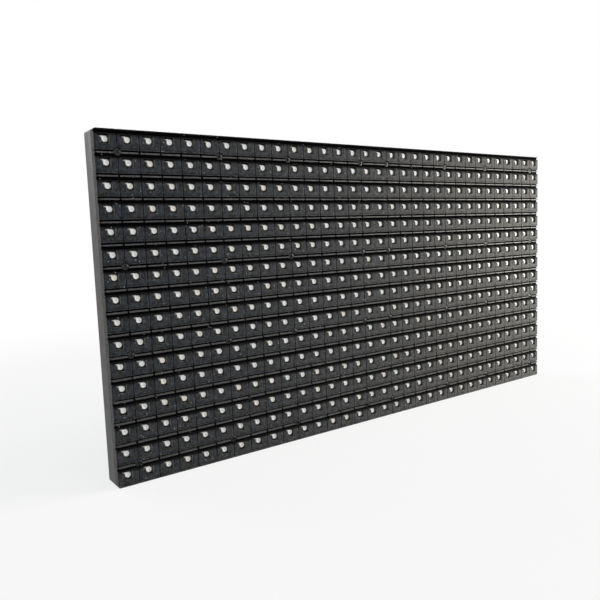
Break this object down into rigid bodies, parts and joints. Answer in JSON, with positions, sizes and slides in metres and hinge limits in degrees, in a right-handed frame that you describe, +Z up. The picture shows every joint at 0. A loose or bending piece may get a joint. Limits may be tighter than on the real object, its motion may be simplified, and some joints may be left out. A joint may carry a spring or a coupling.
{
  "type": "led display module",
  "caption": "Rectangular outdoor LED display module: a louvred black mask over rows of surface-mount lamps, on a board in a ribbed rear shell with threaded inserts.",
  "frame": {"origin": "middle of the bottom edge, halfway through the depth", "axes": "+X across the face to the viewer's right, +Y from the face to the rear, +Z up"},
  "size_m": [0.3198, 0.0164, 0.1597],
  "materials": {
    "mask_plastic": "moulded charcoal plastic, satin",
    "shell_plastic": "moulded dark grey plastic, fine texture",
    "screw_steel": "dark plated steel",
    "silicone": "cast black silicone",
    "board": "green solder mask on glass epoxy",
    "seal_rubber": "black sealing rubber",
    "brass": "turned brass",
    "header_plastic": "moulded black connector plastic",
    "contact_gold": "flash gold contacts",
    "power_plastic": "natural nylon",
    "contact_tin": "tinned contacts",
    "chip_black": "moulded epoxy package",
    "can_aluminium": "drawn aluminium can",
    "capacitor_tan": "fired ceramic",
    "lamp_white": "white moulded lamp housing with a blackened face",
    "lamp_resin": "milky casting resin"
  },
  "bodies": {
    "root": {"mask_left": "mask_plastic", "mask_right": "mask_plastic", "mask_screws": "screw_steel", "cast_silicone": "silicone", "circuit_board": "board", "rear_shell": "shell_plastic", "rear_seal": "seal_rubber", "threaded_inserts": "brass", "input_header": "header_plastic", "input_contacts": "contact_gold", "output_header": "header_plastic", "output_contacts": "contact_gold", "power_header": "power_plastic", "power_contacts_set": "contact_tin", "driver_chips": "chip_black", "buffer_chips": "chip_black", "row_switches": "chip_black", "row_decoder": "chip_black", "capacitor_bases": "header_plastic", "capacitor_cans": "can_aluminium", "chip_capacitors": "capacitor_tan", "chip_resistors": "chip_black", "lamp_row_01": "lamp_white", "lamp_row_02": "lamp_white", "lamp_row_03": "lamp_white", "lamp_row_04": "lamp_white", "lamp_row_05": "lamp_white", "lamp_row_06": "lamp_white", "lamp_row_07": "lamp_white", "lamp_row_08": "lamp_white", "lamp_row_09": "lamp_white", "lamp_row_10": "lamp_white", "lamp_row_11": "lamp_white", "lamp_row_12": "lamp_white", "lamp_row_13": "lamp_white", "lamp_row_14": "lamp_white", "lamp_row_15": "lamp_white", "lamp_row_16": "lamp_white", "lens_row_01": "lamp_resin", "lens_row_02": "lamp_resin", "lens_row_03": "lamp_resin", "lens_row_04": "lamp_resin", "lens_row_05": "lamp_resin", "lens_row_06": "lamp_resin", "lens_row_07": "lamp_resin", "lens_row_08": "lamp_resin", "lens_row_09": "lamp_resin", "lens_row_10": "lamp_resin", "lens_row_11": "lamp_resin", "lens_row_12": "lamp_resin", "lens_row_13": "lamp_resin", "lens_row_14": "lamp_resin", "lens_row_15": "lamp_resin", "lens_row_16": "lamp_resin"}
  },
  "joints": []
}
